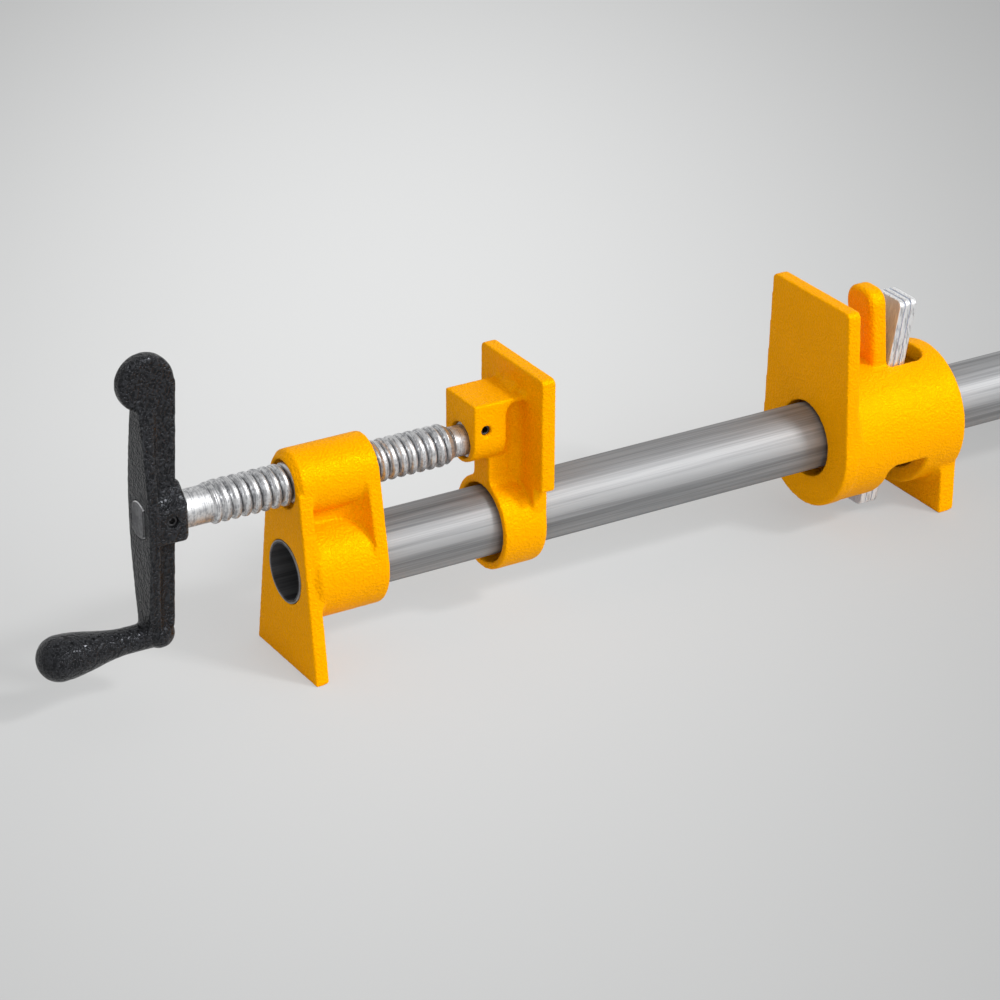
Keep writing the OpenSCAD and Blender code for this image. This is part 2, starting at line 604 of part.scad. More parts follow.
// ---- tail stop ----
module tail_casting() color(yellow) difference() {
    union() {
        // jaw plate with its round lower end
        slab_x(tail_x, tail_plate_t) union() {
            rounded_top(axis_h, axis_h + tail_top, tail_plate_d, tail_top_w, tail_corner);
            translate([0, axis_h]) circle(d = tail_plate_d);
        }
        // round body, its rear rim rounded
        turn_x(tail_x + tail_plate_t / 2, axis_h) union() {
            square([body_d / 2, tail_len - tail_plate_t / 2 - body_round]);
            square([body_d / 2 - body_round, tail_len - tail_plate_t / 2]);
            translate([body_d / 2 - body_round, tail_len - tail_plate_t / 2 - body_round])
                circle(r = body_round);
        }
        slab_x(tail_x1 - foot_t, foot_t) translate([-foot_w / 2, 0]) square([foot_w, axis_h]);
        intersection() {
            cove_x(tail_x1 - foot_t, axis_h, body_d, cast_fillet / 2, 1);
            slab_x(tail_x1 - foot_t - cast_fillet, foot_t) translate([-foot_w / 2, 0])
                square([foot_w, axis_h]);
        }
        // hollow corner between the jaw plate and the body
        intersection() {
            cove_x(tail_x + tail_plate_t, axis_h, body_d, cast_fillet, -1);
            slab_x(tail_x + tail_plate_t / 2, tail_plate_t + cast_fillet)
                rounded_top(axis_h, axis_h + tail_top, tail_plate_d, tail_top_w, tail_corner);
        }
        thumb_tab();
    }
    foot_edge(tail_x1, foot_w);
    // hole for the pipe, wide in the jaw plate and close in the rear wall
    rod_x(tail_x - over, axis_h - hole_drop, tail_hole, cut_from + 2 * over);
    rod_x(tail_x + cut_from, axis_h, pipe_od + 2 * tail_guide_gap, tail_len);
    // round chamber for the clutch plates and their spring
    rod_x(tail_x + cut_from, axis_h, chamber_d, tail_len - cut_from - rear_wall);
    // cut-away through the lower half of the body
    slab_y(body_d + 2 * over) cut_outline();
    // slot in the top, upright behind and leaning with the plates in front
    translate([tail_x + fulcrum_x, 0, axis_h + fulcrum_z]) rotate([0, clutch_lean, 0])
        translate([-move_gap, -slot_w / 2, tab_root - fulcrum_z - 2 * cast_fillet])
            cube([clutch_pack + 2 * move_gap, slot_w, clutch_up]);
    translate([0, 0, axis_h + tab_root - 2 * cast_fillet]) linear_extrude(height = clutch_up) union() {
        translate([tail_x + fulcrum_x + move_gap, -slot_w / 2])
            square([slot_end - slot_round - fulcrum_x - move_gap, slot_w]);
        translate([tail_x + fulcrum_x + move_gap, slot_round - slot_w / 2])
            square([slot_end - fulcrum_x - move_gap, slot_w - 2 * slot_round]);
        for (i = [-1, 1]) translate([tail_x + slot_end - slot_round, i * (slot_w / 2 - slot_round)])
            circle(r = slot_round);
    }
}
module cut_outline() {
    x0 = tail_x + cut_from;
    z1 = axis_h - cut_low;
    difference() {
        translate([x0, -over]) square([cut_len, z1 + over]);
        translate([x0 - over, z1 - cut_round]) square([cut_round + over, cut_round + over]);
    }
    translate([x0 + cut_round, z1 - cut_round]) circle(r = cut_round);
}
// thumb tab in front of the plates: an arch that leans away from them and is thinner at its foot
module thumb_tab() {
    xr = tail_x + fulcrum_x - move_gap;
    hull() for (i = [-1, 1]) {
        for (j = [0, 1]) translate([xr - tab_round - j * (tab_low_t - 2 * tab_round),
            i * (tab_half - tab_round), axis_h + tab_root - cast_fillet])
            cylinder(r = tab_round, h = cast_fillet, $fn = hull_fn);
        for (k = [0, 1]) translate([xr - tab_back_lean - tab_t + k * tab_edge,
            i * (tab_half - tab_arch), axis_h + tab_top - tab_arch]) rotate([0, 90, 0])
            cylinder(r = tab_arch - (1 - k) * tab_edge, h = tab_t - 2 * k * tab_edge, $fn = hull_fn);
    }
}

// ---- clutch ----
clutch_pack = 3 * clutch_t + 2 * stack_gap;
// middle of plate k, measured square to the plates from the bearing edge
function plate_mid(k) = clutch_t / 2 + (k - 1) * (clutch_t + stack_gap);
// distance down plate k from the bearing edge to the pipe's axis
function plate_drop(k) = (fulcrum_z - plate_mid(k) * sin(clutch_lean)) / cos(clutch_lean);
module clutch_plate(k) color(zinc)
    translate([tail_x + fulcrum_x, 0, axis_h + fulcrum_z]) rotate([0, clutch_lean, 0])
        translate([0, 0, -plate_drop(k)]) slab_x(plate_mid(k) - clutch_t / 2, clutch_t) difference() {
            union() {
                circle(d = clutch_w);
                translate([-tongue_w / 2, tongue_round - clutch_down / cos(clutch_lean)])
                    square([tongue_w, (clutch_up + clutch_down) / cos(clutch_lean) - 2 * tongue_round]);
                translate([tongue_round - tongue_w / 2, -clutch_down / cos(clutch_lean)])
                    square([tongue_w - 2 * tongue_round, (clutch_up + clutch_down) / cos(clutch_lean)]);
                for (i = [-1, 1], s = [clutch_up / cos(clutch_lean) - tongue_round,
                                       tongue_round - clutch_down / cos(clutch_lean)])
                    translate([i * (tongue_w / 2 - tongue_round), s]) circle(r = tongue_round);
            }
            circle(d = clutch_hole);
        }
module clutch_plate_1() clutch_plate(1);
module clutch_plate_2() clutch_plate(2);
module clutch_plate_3() clutch_plate(3);

// spring round the pipe, from the rear wall towards the plates
coil_x1 = tail_x1 - rear_wall - wire_d / 2 - seat_gap;
coil_x0 = tail_x + cut_from + cut_len + coil_clear - wire_d;
coil_n = coil_turns * coil_rings;
coil_t0 = 0;
function coil_c(i) = let (a = coil_t0 + 360 * i / coil_rings)
    [coil_x0 + (coil_x1 - coil_x0) * i / coil_n, coil_d / 2 * cos(a), axis_h + coil_d / 2 * sin(a)];
function coil_tangent(i) = let (a = coil_t0 + 360 * i / coil_rings)
    unit([(coil_x1 - coil_x0) / (2 * PI * coil_turns), -coil_d / 2 * sin(a), coil_d / 2 * cos(a)]);
function coil_ring(i, push) = let (a = coil_t0 + 360 * i / coil_rings, t = coil_tangent(i),
    n = [0, -cos(a), -sin(a)], b = cross(t, n), c = coil_c(i) + push * t)
    [for (k = [0:coil_sides - 1]) let (q = 360 * k / coil_sides)
        c + wire_d / 2 * (cos(q) * n + sin(q) * b)];
coil_points = concat(coil_ring(0, -wire_d), [for (i = [0:coil_n]) each coil_ring(i, 0)],
    coil_ring(coil_n, wire_d));
coil_last = len(coil_points) - coil_sides;
coil_faces = concat(
    [for (k = [1:coil_sides - 2]) [0, k, k + 1]],
    [for (r = [0:coil_n + 1], k = [0:coil_sides - 1], h = [0, 1])
        let (a = r * coil_sides + k, b = r * coil_sides + (k + 1) % coil_sides,
             c = a + coil_sides, d = b + coil_sides) h == 0 ? [a, c, b] : [b, c, d]],
    [for (k = [1:coil_sides - 2]) [coil_last, coil_last + k + 1, coil_last + k]]);
coil_self_gap = min([for (i = [0:coil_n], j = [i + coil_rings / 2:1:coil_n])
    norm(coil_c(i) - coil_c(j))]) - wire_d;
echo(spring_gap_to_itself_mm = coil_self_gap);
module clutch_spring() color(steel) polyhedron(points = coil_points, faces = coil_faces);

head_casting();
pipe();
spindle();
crank();
crank_pin();
sliding_jaw();
jaw_pin();
tail_casting();
clutch_plate_1();
clutch_plate_2();
clutch_plate_3();
clutch_spring();
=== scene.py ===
# A woodworking clamp on a length of steel pipe, finished piece by piece over its CAD frame.
import json
import math

import bmesh
import bpy
from mathutils import Matrix, Vector

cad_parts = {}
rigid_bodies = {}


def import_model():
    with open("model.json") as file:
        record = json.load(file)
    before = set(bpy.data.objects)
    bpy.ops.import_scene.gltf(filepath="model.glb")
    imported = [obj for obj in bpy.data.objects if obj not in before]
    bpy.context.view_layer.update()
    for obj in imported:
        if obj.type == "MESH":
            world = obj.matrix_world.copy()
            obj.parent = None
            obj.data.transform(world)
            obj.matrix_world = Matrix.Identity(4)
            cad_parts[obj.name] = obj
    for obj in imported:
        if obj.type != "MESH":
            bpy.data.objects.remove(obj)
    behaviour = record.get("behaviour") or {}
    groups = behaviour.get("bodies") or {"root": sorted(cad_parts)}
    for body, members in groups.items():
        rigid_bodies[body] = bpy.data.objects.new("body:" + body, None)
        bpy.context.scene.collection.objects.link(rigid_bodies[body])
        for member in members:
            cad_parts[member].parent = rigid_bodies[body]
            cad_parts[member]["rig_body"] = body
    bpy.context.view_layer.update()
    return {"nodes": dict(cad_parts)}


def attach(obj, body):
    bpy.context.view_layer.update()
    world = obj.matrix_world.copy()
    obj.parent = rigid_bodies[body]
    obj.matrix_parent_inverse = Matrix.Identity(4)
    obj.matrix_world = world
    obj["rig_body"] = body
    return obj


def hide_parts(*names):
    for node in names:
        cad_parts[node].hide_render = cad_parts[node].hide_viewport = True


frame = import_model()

scene = bpy.context.scene
scene.view_settings.view_transform = "Standard"

# ---- Camera ----
# It stands where the photograph was taken from: fitted to the pipe's diameter and the
# castings' straight edges, in front of the crank end and above the bench.
camera_place = Vector((-0.51992, -1.0156, 0.62274))
camera_turn, camera_tilt, camera_roll = (math.radians(v) for v in (30.93, 26.06, 0.22))
camera_lens, camera_film = 126.3, 36
camera_near, camera_far = 0.05, 60
back = Vector((-math.sin(camera_turn) * math.cos(camera_tilt),
               -math.cos(camera_turn) * math.cos(camera_tilt), math.sin(camera_tilt)))
level = Vector((math.cos(camera_turn), -math.sin(camera_turn), 0))
upright = back.cross(level)
right = level * math.cos(camera_roll) + upright * math.sin(camera_roll)
upward = upright * math.cos(camera_roll) - level * math.sin(camera_roll)
eye = bpy.data.objects.new("photo_camera", bpy.data.cameras.new("photo_camera"))
scene.collection.objects.link(eye)
eye.data.lens, eye.data.sensor_width = camera_lens, camera_film
eye.data.clip_start, eye.data.clip_end = camera_near, camera_far
axes = Matrix((right, upward, back)).transposed()
eye.matrix_world = Matrix.Translation(camera_place) @ axes.to_4x4()
scene.camera = eye

# ---- Bench and light ----
# A plain pale bench that runs out of sight, with a pool of light painted on it that darkens
# away from the clamp, one broad soft lamp and one small strong one in front, and a pale room
# that is dimmer overhead.
bench_reach = 12.0
# painted pool of light: the bench's colour is palest round the clamp and dimmer away from it
bench_lit_tone, bench_dim_tone = (0.700, 0.706, 0.706), (0.315, 0.317, 0.317)
bench_middle, bench_fade = (0.195, 0.295), (0.316, 0.79)
bench_roughness, bench_mirror = 0.9, 0.1
bench_glow, bench_glow_share = 1.1, 0.62
room_tone, room_low, room_high = (1.0, 1.0, 1.0), 1.02, 0.60
room_dims_from, room_dims_to = -0.1, 0.7


def feed(tree, node, terms):
    """Gives a node's inputs plain values or other nodes' outputs, and returns its outputs."""
    for label, term in terms.items():
        if isinstance(term, bpy.types.NodeSocket):
            tree.links.new(term, node.inputs[label])
        else:
            node.inputs[label].default_value = term
    return node.outputs


def new_finish(name):
    """A material with its node tree, its shader and the object's own coordinates."""
    finish = bpy.data.materials.new(name)
    finish.use_nodes = True
    tree = finish.node_tree
    place = tree.nodes.new("ShaderNodeTexCoord")
    return finish, tree, tree.nodes["Principled BSDF"], place.outputs["Object"]


def sums(tree):
    """A short way to write arithmetic in a node tree: value("ADD", a, b)."""
    def value(operation, *terms, clamp=False):
        node = tree.nodes.new("ShaderNodeMath")
        node.operation, node.use_clamp = operation, clamp
        return feed(tree, node, dict(enumerate(terms)))["Value"]
    return value


def arrow(tree, operation, terms):
    """A step of vector arithmetic, its terms given by their place."""
    node = tree.nodes.new("ShaderNodeVectorMath")
    node.operation = operation
    return feed(tree, node, terms)


def parts_of(tree, vector):
    """The X, Y and Z of a vector."""
    node = tree.nodes.new("ShaderNodeSeparateXYZ")
    parts = feed(tree, node, {"Vector": vector})
    return parts["X"], parts["Y"], parts["Z"]


def span(tree, term, old, new=(0, 1), smooth=False):
    """Carries the values of the old range over to the new one."""
    node = tree.nodes.new("ShaderNodeMapRange")
    node.interpolation_type = "SMOOTHSTEP" if smooth else "LINEAR"
    return feed(tree, node, {"Value": term, "From Min": old[0], "From Max": old[1],
                             "To Min": new[0], "To Max": new[1]})["Result"]


def blend(tree, share, low, high, kind="RGBA"):
    """Mixes two colours or numbers, from all of the low one to all of the high one."""
    node = tree.nodes.new("ShaderNodeMix")
    node.data_type = kind
    low, high = ((*term, 1) if isinstance(term, tuple) else term for term in (low, high))
    return feed(tree, node, {"Factor": share, "A": low, "B": high})["Result"]


bench_mesh = bpy.data.meshes.new("bench_top")
bench_mesh.from_pydata([(-bench_reach, -bench_reach, 0), (bench_reach, -bench_reach, 0),
                        (bench_reach, bench_reach, 0), (-bench_reach, bench_reach, 0)],
                       [], [(0, 1, 2, 3)])
bench = bpy.data.objects.new("bench_top", bench_mesh)
scene.collection.objects.link(bench)
bench_finish, bench_tree, bench_shader, bench_coords = new_finish("bench_paint")
bench_sum = sums(bench_tree)
bench_turn = bench_tree.nodes.new("ShaderNodeMapping")
bench_turn.vector_type = "TEXTURE"
bench_spot = feed(bench_tree, bench_turn, {
    "Vector": bench_coords, "Location": (*bench_middle, 0),
    "Rotation": (0, 0, -camera_turn), "Scale": (*bench_fade, 1)})["Vector"]
bench_far = arrow(bench_tree, "LENGTH", {0: bench_spot})["Value"]
# the painted pool of light, palest at its middle and fading outwards
painted_light_pool = bench_sum("EXPONENT", bench_sum("MULTIPLY", bench_sum("POWER", bench_far, 2), -1))
bench_painted_colour = blend(bench_tree, painted_light_pool, bench_dim_tone, bench_lit_tone)
feed(bench_tree, bench_shader, {"Base Color": bench_painted_colour, "Roughness": bench_roughness,
                                "Specular IOR Level": bench_mirror})
# where the camera looks at it the bench partly glows in its painted colour, painted light that
# makes the shadow on it fainter
bench_light = feed(bench_tree, bench_tree.nodes.new("ShaderNodeEmission"),
                   {"Color": bench_painted_colour, "Strength": bench_glow})["Emission"]
bench_ray = bench_tree.nodes.new("ShaderNodeLightPath").outputs["Is Camera Ray"]
bench_seen = feed(bench_tree, bench_tree.nodes.new("ShaderNodeMixShader"), {
    "Fac": bench_sum("MULTIPLY", bench_ray, bench_glow_share),
    1: bench_shader.outputs["BSDF"], 2: bench_light})["Shader"]
feed(bench_tree, bench_tree.nodes["Material Output"], {"Surface": bench_seen})
bench_mesh.materials.append(bench_finish)

room = bpy.data.worlds.new("room")
room.use_nodes = True
room_tree = room.node_tree
room_way = room_tree.nodes.new("ShaderNodeTexCoord").outputs["Generated"]
room_strength = span(room_tree, parts_of(room_tree, room_way)[2],
                     (room_dims_from, room_dims_to), (room_low, room_high), smooth=True)
feed(room_tree, room_tree.nodes["Background"], {"Color": (*room_tone, 1),
                                                "Strength": room_strength})
scene.world = room


def soft_lamp(name, place, aim, wide, tall, watts):
    """A flat white lamp that faces a point on the clamp."""
    lamp = bpy.data.lights.new(name, "AREA")
    lamp.shape, lamp.size, lamp.size_y = "RECTANGLE", wide, tall
    lamp.energy = watts
    holder = bpy.data.objects.new(name, lamp)
    scene.collection.objects.link(holder)
    holder.location = place
    facing = (Vector(aim) - Vector(place)).to_track_quat("-Z", "Y")
    holder.rotation_euler = facing.to_euler()


soft_lamp("broad_lamp", (1.15, -2.15, 1.75), (0.15, 0, 0.05), wide=2.4, tall=1.5, watts=42)
soft_lamp("small_lamp", (1.25, -1.55, 1.90), (0.12, 0, 0.05), wide=0.42, tall=0.34, watts=34)

# ---- Head ----
# Grey iron cast in sand, with every edge run round, then shot-blasted and powder-coated
# yellow: the coat keeps the pebbled skin of the casting, with a painted highlight on its edges
# and painted shade in its hollows.
yellow_coat_colour = (0.91, 0.370, 0.0)
# the edge colour is a painted highlight, the hollow colour painted shade
yellow_edge_sheen = (0.95, 0.400, 0.0)
yellow_hollow_shade = (0.86, 0.370, 0.0)
yellow_shine = (1.0, 0.80, 0.10)
head_voxel, head_rounding = 0.00050, 9
skin_wave, skin_detail, skin_depth = 0.0026, 2, 0.00016
corner_gap = 2e-6
pebble_pit, pebble_top = 0.36, 0.64
pebble_detail, wave_detail, wave_to_pebble = 1.5, 1, 0.3
# pointiness stops of the painted shade in hollows, the plain coat, and the painted highlight on
# edges
painted_shade_form, plain_form, edge_wear_and_sheen_form = 0.42, 0.50, 0.62
cloud_scale, cloud_detail, cloud_depth = 45, 3, 0.12
gloss_change = 0.16


def joined_copy(node, piece_name, flat_angle=None):
    """A bare copy of a node's mesh, its corners joined, its flat faces too if an angle is given."""
    piece = bpy.data.objects.new(piece_name, frame["nodes"][node].data.copy())
    scene.collection.objects.link(piece)
    piece.data.materials.clear()
    net = bmesh.new()
    net.from_mesh(piece.data)
    bmesh.ops.remove_doubles(net, verts=net.verts, dist=corner_gap)
    if flat_angle is not None:
        bmesh.ops.dissolve_limit(net, angle_limit=flat_angle, verts=net.verts, edges=net.edges)
    net.to_mesh(piece.data)
    net.free()
    return piece


def keep_shape(piece):
    """Turns what the piece's modifiers make into its plain mesh."""
    graph = bpy.context.evaluated_depsgraph_get()
    made = bpy.data.meshes.new_from_object(piece.evaluated_get(graph))
    piece.modifiers.clear()
    piece.data = made


def cast_copy(node, piece_name, voxel, rounding):
    """The casting's own shape on an even net of faces, with its edges run round."""
    source = frame["nodes"][node]
    piece = joined_copy(node, piece_name)
    remesh = piece.modifiers.new("even_net", "REMESH")
    remesh.mode, remesh.voxel_size, remesh.adaptivity = "VOXEL", voxel, 0
    soften = piece.modifiers.new("run_round", "SMOOTH")
    soften.factor, soften.iterations = 0.5, rounding
    # the skin of the sand mould, a little uneven
    sand = bpy.data.textures.new(piece_name + "_sand", "CLOUDS")
    sand.noise_scale, sand.noise_depth = skin_wave, skin_detail
    uneven = piece.modifiers.new("sand_skin", "DISPLACE")
    uneven.texture, uneven.strength, uneven.mid_level = sand, skin_depth, 0.5
    keep_shape(piece)
    piece.data.shade_smooth()
    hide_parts(node)
    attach(piece, source["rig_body"])
    return piece


def noise(tree, coords, scale, detail=2, roughness=0.5):
    """Cloudy noise of the given scale, from 0 to 1."""
    return feed(tree, tree.nodes.new("ShaderNodeTexNoise"), {
        "Vector": coords, "Scale": scale, "Detail": detail, "Roughness": roughness})["Fac"]


def ramp(tree, share, *stops):
    """Colours that follow a share from stop to stop, each a position and its colour."""
    node = tree.nodes.new("ShaderNodeValToRGB")
    marks = node.color_ramp.elements
    for mark, (position, colour) in zip(marks, (stops[0], stops[-1])):
        mark.position, mark.color = position, (*colour, 1)
    for position, colour in stops[1:-1]:
        marks.new(position).color = (*colour, 1)
    return feed(tree, node, {"Fac": share})["Color"]


def dent(tree, shader, height, strength, distance):
    """Lets the surface catch the light as if it had the given height."""
    bump = feed(tree, tree.nodes.new("ShaderNodeBump"),
                {"Height": height, "Strength": strength, "Distance": distance})
    feed(tree, shader, {"Normal": bump["Normal"]})


def pebbled_coat(name, colour, edge, hollow_shade, shine, mirror, pebble, depth, gloss, metal, pebble_sheen):
    """Powder coat over a cast skin: pebbles of the given size, a painted highlight on the edges,
    painted shade in the hollows.
    """
    finish, tree, shader, coords = new_finish(name)
    value = sums(tree)
    # the pebbles stand up steeply from the pits between them
    grain = noise(tree, coords, 1 / pebble, pebble_detail)
    pebbles = span(tree, grain, (pebble_pit, pebble_top), smooth=True)
    waves = noise(tree, coords, wave_to_pebble / pebble, wave_detail)
    dent(tree, shader, value("ADD", pebbles, waves), 1, depth)
    # painted highlight on the edges and painted shade in the hollow corners, by how pointed the
    # surface is
    form = tree.nodes.new("ShaderNodeNewGeometry").outputs["Pointiness"]
    coat_with_painted_light = ramp(tree, form, (painted_shade_form, hollow_shade), (plain_form, colour), (edge_wear_and_sheen_form, edge))
    cloud = noise(tree, coords, cloud_scale, cloud_detail)
    tint = value("MULTIPLY_ADD", cloud, cloud_depth, 1 - cloud_depth / 2)
    # painted highlight: the pebbles' tops are painted paler than the pits between them
    tint = value("MULTIPLY", tint, value("MULTIPLY_ADD", pebbles, pebble_sheen, 1 - pebble_sheen / 2))
    feed(tree, shader, {
        "Base Color": arrow(tree, "SCALE", {0: coat_with_painted_light, "Scale": tint})["Vector"],
        "Roughness": value("MULTIPLY_ADD", waves, gloss_change, gloss - gloss_change / 2),
        "Metallic": metal, "Specular Tint": (*shine, 1), "Specular IOR Level": mirror})
    return finish


yellow_coat = pebbled_coat(
    "yellow_coat", yellow_coat_colour, yellow_edge_sheen, yellow_hollow_shade, yellow_shine,
    mirror=0.02, pebble=0.0009, depth=0.00014, gloss=0.38, metal=0.14, pebble_sheen=0.06)
head = cast_copy("head_casting", "head", head_voxel, head_rounding)
head.data.materials.append(yellow_coat)

# ---- Pipe ----
# A length of drawn steel water pipe, dull grey outside with long drawing marks, dark and
# rough inside, its end faced off flush with the head.
pipe_height = 0.0372
pipe_steel_dark, pipe_steel_light = (0.19, 0.194, 0.20), (0.40, 0.404, 0.41)
pipe_bore_dark, pipe_bore_light = (0.06, 0.06, 0.065), (0.17, 0.17, 0.175)
pipe_bore_radius = 0.0115
pipe_roughness = (0.60, 0.76)
broad_mark_size, broad_mark_detail = (0.35, 0.0045), 2
fine_mark_size, fine_mark_detail, fine_mark_share = (0.05, 0.0006), 4, 0.4
mark_strength, mark_depth = 0.35, 0.00006
flat_angle, edge_angle, crease_angle = (math.radians(v) for v in (1, 40, 50))
pipe_edge_width, edge_steps = 0.00025, 3


def merged_copy(node, piece_name, edge_width):
    """The node's own shape as one smooth-shaded piece, with its sharp edges broken."""
    source = frame["nodes"][node]
    piece = joined_copy(node, piece_name, flat_angle)
    edge = piece.modifiers.new("broken_edge", "BEVEL")
    edge.width, edge.segments = edge_width, edge_steps
    edge.limit_method, edge.angle_limit = "ANGLE", edge_angle
    edge.harden_normals = False
    keep_shape(piece)
    piece.data.shade_smooth()
    piece.data.set_sharp_from_angle(angle=crease_angle)
    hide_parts(node)
    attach(piece, source["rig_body"])
    return piece


def drawn_out(tree, coords, scales, detail, shift=(0, 0, 0)):
    """Noise stretched by its own scale along each axis."""
    stretch = feed(tree, tree.nodes.new("ShaderNodeMapping"),
                   {"Vector": coords, "Location": shift, "Scale": scales})
    return noise(tree, stretch["Vector"], 1, detail)


def drawing_marks(tree, coords, along, across, detail):
    """Marks of the given length and width in metres that run along the pipe."""
    return drawn_out(tree, coords, (1 / along, 1 / across, 1 / across), detail,
                     (0, 0, -pipe_height / across))


pipe_steel, pipe_tree, pipe_shader, pipe_coords = new_finish("pipe_steel")
broad_marks = drawing_marks(pipe_tree, pipe_coords, *broad_mark_size, broad_mark_detail)
fine_marks = drawing_marks(pipe_tree, pipe_coords, *fine_mark_size, fine_mark_detail)
pipe_marks = blend(pipe_tree, fine_mark_share, broad_marks, fine_marks, "FLOAT")
pipe_bore = ramp(pipe_tree, pipe_marks, (0.38, pipe_bore_dark), (0.62, pipe_bore_light))
pipe_skin = ramp(pipe_tree, pipe_marks, (0.34, pipe_steel_dark), (0.60, pipe_steel_light))
# distance from the pipe's axis tells the bore from the outside
from_axis = arrow(pipe_tree, "MULTIPLY_ADD", {
    0: pipe_coords, 1: (0, 1, 1), 2: (0, 0, -pipe_height)})["Vector"]
pipe_reach = arrow(pipe_tree, "LENGTH", {0: from_axis})["Value"]
in_bore = sums(pipe_tree)("LESS_THAN", pipe_reach, pipe_bore_radius)
feed(pipe_tree, pipe_shader, {
    "Base Color": blend(pipe_tree, in_bore, pipe_skin, pipe_bore), "Metallic": 1,
    "Roughness": span(pipe_tree, fine_marks, (0, 1), pipe_roughness)})
dent(pipe_tree, pipe_shader, fine_marks, mark_strength, mark_depth)
pipe = merged_copy("pipe", "steel_pipe", pipe_edge_width)
pipe.data.materials.append(pipe_steel)

# ---- Spindle ----
# A steel bar with a rolled trapezoidal thread, zinc plated: bare rolling stock shows beside
# the crank, a turned neck beside the jaw, and two flats pass through the crank's flange.
spindle_height, spindle_sides = 0.0727, 96
thread_pitch, thread_run_out, thread_seam = 0.004, 0.011, 0.00012
thread_crest, thread_root, shank_radius, neck_radius = 0.008, 0.00575, 0.007, 0.0058
thread_start, thread_end = -0.0345, 0.0667
thread_sides, thread_rings = 80, 660
# the bar under the thread's skin: the shank dives below it, and the neck comes out of it
shank_to, shank_under = thread_start + 0.003, shank_radius - 0.00002
core_from, core_to, core_radius = thread_start + 0.0045, thread_end - 0.001, thread_root - 0.0001
neck_from = thread_end - 0.0005
end_radius, groove_radius, end_face = 0.0067, 0.0043, 0.07285
tenon_half, tenon_end, tenon_step = 0.0042, -0.04775, 0.0001
shank_face, sheared_radius, shear_bevel = -0.06035, 0.0064, 0.0006
jaw_end, jaw_bevel = 0.08315, 0.0005
groove_from, groove_to = 0.07415, 0.07875
# the groove's power, then shares of the pitch and of the run-out, and the half-formed start
groove_steepness, seam_half_width, jaw_run_out = 2.6, 0.05, 0.35
first_crest_sink, first_crest_rise, first_cut = 0.45, 4, 0.4
spindle_crease = math.radians(42)
zinc_bright, zinc_dull = (0.70, 0.705, 0.71), (0.34, 0.345, 0.36)
# the dark of the painted shade in the thread's groove and on the sheared end
zinc_groove_shade = (0.10, 0.10, 0.105)
zinc_dull_to, zinc_bright_from = 0.42, 0.54
blotch_scale, blotch_detail, blotch_roughness, blotch_share = 700, 4, 0.6, 0.5
rolling_line_scales, rolling_line_detail, rolling_line_share = (3600, 130, 130), 2, 0.5
# where the painted shade darkens the groove and the sheared end, and how much
groove_shade_from, groove_shade_full = thread_crest - 0.0012, thread_root + 0.0001
groove_shade_start, groove_shade_end = thread_start + 0.002, thread_end - 0.0004
end_shade_to = shank_face + 0.0003
groove_shade_share, end_shade_share = 0.75, 0.8
zinc_roughness, bright_smoothness, shade_roughness_gain = 0.80, 0.7, 0.2
zinc_strength, zinc_depth = 0.6, 0.00012


def turned_bar(name, profile, height, sides):
    """A bar turned about an X axis, from stations and radii, closed at both ends."""
    net = bmesh.new()
    rings = []
    for x, r in profile:
        rings.append([net.verts.new((x, r * math.cos(t), height + r * math.sin(t)))
                      for t in (2 * math.pi * k / sides for k in range(sides))])
    for low, high in zip(rings, rings[1:]):
        for k in range(sides):
            net.faces.new((low[k], high[k], high[(k + 1) % sides], low[(k + 1) % sides]))
    net.faces.new(rings[0])
    net.faces.new(rings[-1][::-1])
    bmesh.ops.recalc_face_normals(net, faces=net.faces)
    mesh = bpy.data.meshes.new(name)
    net.to_mesh(mesh)
    net.free()
    bar = bpy.data.objects.new(name, mesh)
    scene.collection.objects.link(bar)
    return bar


def new_maker(name, measures, counts):
    """A Geometry Nodes tree with a named input for each measure and count and for the finish."""
    tree = bpy.data.node_groups.new(name, "GeometryNodeTree")
    tree.interface.new_socket("Geometry", in_out="INPUT", socket_type="NodeSocketGeometry")
    sockets = {}
    for kind, labels in (("NodeSocketFloat", measures), ("NodeSocketInt", counts),
                         ("NodeSocketMaterial", ("Finish",))):
        for label in labels:
            socket = tree.interface.new_socket(label, in_out="INPUT", socket_type=kind)
            sockets[label] = socket.identifier
    tree.interface.new_socket("Geometry", in_out="OUTPUT", socket_type="NodeSocketGeometry")
    return tree, sockets, tree.nodes.new("NodeGroupInput").outputs


def point_parts(tree):
    """The X, Y and Z of each point of the geometry."""
    return parts_of(tree, tree.nodes.new("GeometryNodeInputPosition").outputs["Position"])


def set_points(tree, shape, x, y, z):
    """Puts each point of the geometry in a new place."""
    place = feed(tree, tree.nodes.new("ShaderNodeCombineXYZ"), {"X": x, "Y": y, "Z": z})
    return feed(tree, tree.nodes.new("GeometryNodeSetPosition"),
                {"Geometry": shape, "Position": place["Vector"]})["Geometry"]


def hand_out(tree, shape, finish):
    """Makes the geometry real, gives it its finish and sends it to the tree's output."""
    real = feed(tree, tree.nodes.new("GeometryNodeRealizeInstances"), {"Geometry": shape})
    painted = feed(tree, tree.nodes.new("GeometryNodeSetMaterial"),
                   {"Geometry": real["Geometry"], "Material": finish})
    feed(tree, tree.nodes.new("NodeGroupOutput"), {"Geometry": painted["Geometry"]})


